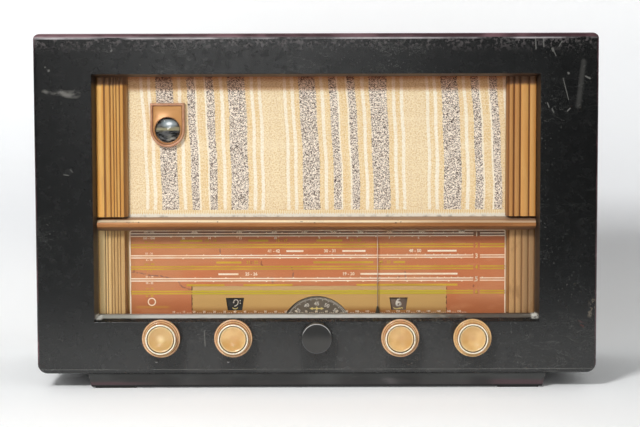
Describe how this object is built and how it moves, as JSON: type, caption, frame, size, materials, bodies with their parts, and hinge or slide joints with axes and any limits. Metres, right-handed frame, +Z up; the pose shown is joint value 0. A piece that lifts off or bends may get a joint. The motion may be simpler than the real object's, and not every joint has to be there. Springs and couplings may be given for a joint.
{
  "type": "table valve radio",
  "caption": "Wide table radio with a bevelled window, striped grille, ribbed pilasters, glass dial with a moving pointer, round knobs and a slotted back.",
  "frame": {"origin": "middle of the footprint on the ground, midway between the knobs' fronts and the back", "axes": "+X to the right seen from the front, +Y from the front to the back, +Z up"},
  "size_m": [0.6, 0.272, 0.38],
  "materials": {
    "cabinet_moulding": "satin",
    "felt": "matte",
    "pressboard": "matte",
    "plated_steel": "satin",
    "ochre_moulding": "satin",
    "bronze_trim": "satin",
    "copper_trim": "satin",
    "grille_fabric": "matte",
    "speaker_metal": "satin",
    "cone_paper": "matte",
    "clear_glass": "gloss",
    "dark_glass": "gloss",
    "dial_print": "matte",
    "lamp_brass": "satin",
    "pointer_paint": "satin",
    "cord_thread": "matte",
    "ivory_plastic": "gloss",
    "black_plastic": "satin",
    "brown_bakelite": "satin",
    "ceramic": "matte",
    "tuning_metal": "satin",
    "transformer_iron": "matte",
    "grommet_rubber": "matte"
  },
  "bodies": {
    "cabinet": {"case": "cabinet_moulding", "plinth": "cabinet_moulding", "felt_pads": "felt", "bottom_cover": "pressboard", "underside_screws": "plated_steel", "back_cover": "pressboard", "back_screws": "plated_steel", "upper_pilasters": "ochre_moulding", "lower_pilasters": "ochre_moulding", "cross_bar": "bronze_trim", "grille_cloth": "grille_fabric", "baffle_board": "pressboard", "baffle_screws": "plated_steel", "speaker_basket": "speaker_metal", "speaker_magnet": "speaker_metal", "speaker_bolts": "plated_steel", "eye_escutcheon": "copper_trim", "eye_tube": "dark_glass", "eye_bracket": "plated_steel", "dial_glass": "clear_glass", "dial_plate": "dial_print", "dial_lamps": "lamp_brass", "pointer_rail": "plated_steel", "dial_cord": "cord_thread", "chassis": "plated_steel", "volume_control": "brown_bakelite", "tone_control": "brown_bakelite", "band_switch": "brown_bakelite", "fine_trimmer": "ceramic", "coil_unit": "brown_bakelite", "gang_frame": "tuning_metal", "gang_stator": "tuning_metal", "mains_transformer": "transformer_iron", "output_transformer": "transformer_iron", "smoothing_capacitor": "tuning_metal", "if_cans": "tuning_metal", "valve_sockets": "brown_bakelite", "signal_valves": "clear_glass", "power_valves": "clear_glass", "socket_strip": "brown_bakelite", "mains_gland": "grommet_rubber"},
    "volume_knob_body": {"volume_knob": "ivory_plastic", "volume_shaft": "plated_steel"},
    "volume_lever_body": {"volume_lever": "black_plastic"},
    "tone_knob_body": {"tone_knob": "ivory_plastic", "tone_shaft": "plated_steel"},
    "tone_lever_body": {"tone_lever": "black_plastic"},
    "band_knob_body": {"band_knob": "ivory_plastic", "band_shaft": "black_plastic"},
    "fine_knob_body": {"fine_knob": "black_plastic", "fine_shaft": "black_plastic"},
    "tuning_knob_body": {"tuning_knob": "ivory_plastic", "tuning_shaft": "plated_steel"},
    "gang_body": {"gang_rotor": "tuning_metal", "drive_drum": "tuning_metal"},
    "pointer_body": {"pointer": "pointer_paint"},
    "left_pulley_body": {"left_cord_pulley": "lamp_brass"},
    "right_pulley_body": {"right_cord_pulley": "lamp_brass"},
    "cone_body": {"speaker_cone": "cone_paper"}
  },
  "joints": [
    {"name": "gang_turn", "type": "hinge", "parent": "cabinet", "child": "gang_body", "pos_m": [0.1, 0, 0.147], "axis": [0, 1, 0], "range_deg": [-129.6, 50.4]},
    {"name": "tuning_turn", "type": "hinge", "parent": "cabinet", "child": "tuning_knob_body", "pos_m": [0.166, 0, 0.056], "axis": [0, 1, 0], "range_deg": [-1458.01, 567.01]},
    {"name": "pointer_slide", "type": "slide", "parent": "cabinet", "child": "pointer_body", "axis": [1, 0, 0], "range_m": [-0.21631, 0.08413]},
    {"name": "left_pulley_turn", "type": "hinge", "parent": "cabinet", "child": "left_pulley_body", "pos_m": [-0.215, 0, 0.0625], "axis": [0, 1, 0], "range_deg": [-953.32, 370.74]},
    {"name": "right_pulley_turn", "type": "hinge", "parent": "cabinet", "child": "right_pulley_body", "pos_m": [0.215, 0, 0.0625], "axis": [0, 1, 0], "range_deg": [-953.32, 370.74]},
    {"name": "volume_turn", "type": "hinge", "parent": "cabinet", "child": "volume_knob_body", "pos_m": [-0.166, 0, 0.056], "axis": [0, 1, 0], "range_deg": [-150, 150]},
    {"name": "volume_lever_turn", "type": "hinge", "parent": "cabinet", "child": "volume_lever_body", "pos_m": [-0.166, 0, 0.056], "axis": [0, 1, 0], "range_deg": [-43, 17]},
    {"name": "tone_turn", "type": "hinge", "parent": "cabinet", "child": "tone_knob_body", "pos_m": [-0.089, 0, 0.056], "axis": [0, 1, 0], "range_deg": [-150, 150]},
    {"name": "tone_lever_turn", "type": "hinge", "parent": "cabinet", "child": "tone_lever_body", "pos_m": [-0.089, 0, 0.056], "axis": [0, 1, 0], "range_deg": [-43, 17]},
    {"name": "band_turn", "type": "hinge", "parent": "cabinet", "child": "band_knob_body", "pos_m": [0.089, 0, 0.056], "axis": [0, 1, 0], "range_deg": [-150, 0]},
    {"name": "fine_turn", "type": "hinge", "parent": "cabinet", "child": "fine_knob_body", "pos_m": [0, 0, 0.056], "axis": [0, 1, 0], "range_deg": [-60, 60]},
    {"name": "cone_slide", "type": "slide", "parent": "cabinet", "child": "cone_body", "axis": [0, 1, 0], "range_m": [-0.001, 0.001], "stiffness_N_per_m": 1500}
  ],
  "couplings": [
    {"joint": "tuning_turn", "follows": "gang_turn", "ratio": 11.25},
    {"joint": "pointer_slide", "follows": "gang_turn", "m_per_rad": 0.095625},
    {"joint": "left_pulley_turn", "follows": "gang_turn", "ratio": 7.3558},
    {"joint": "right_pulley_turn", "follows": "gang_turn", "ratio": 7.3558}
  ]
}
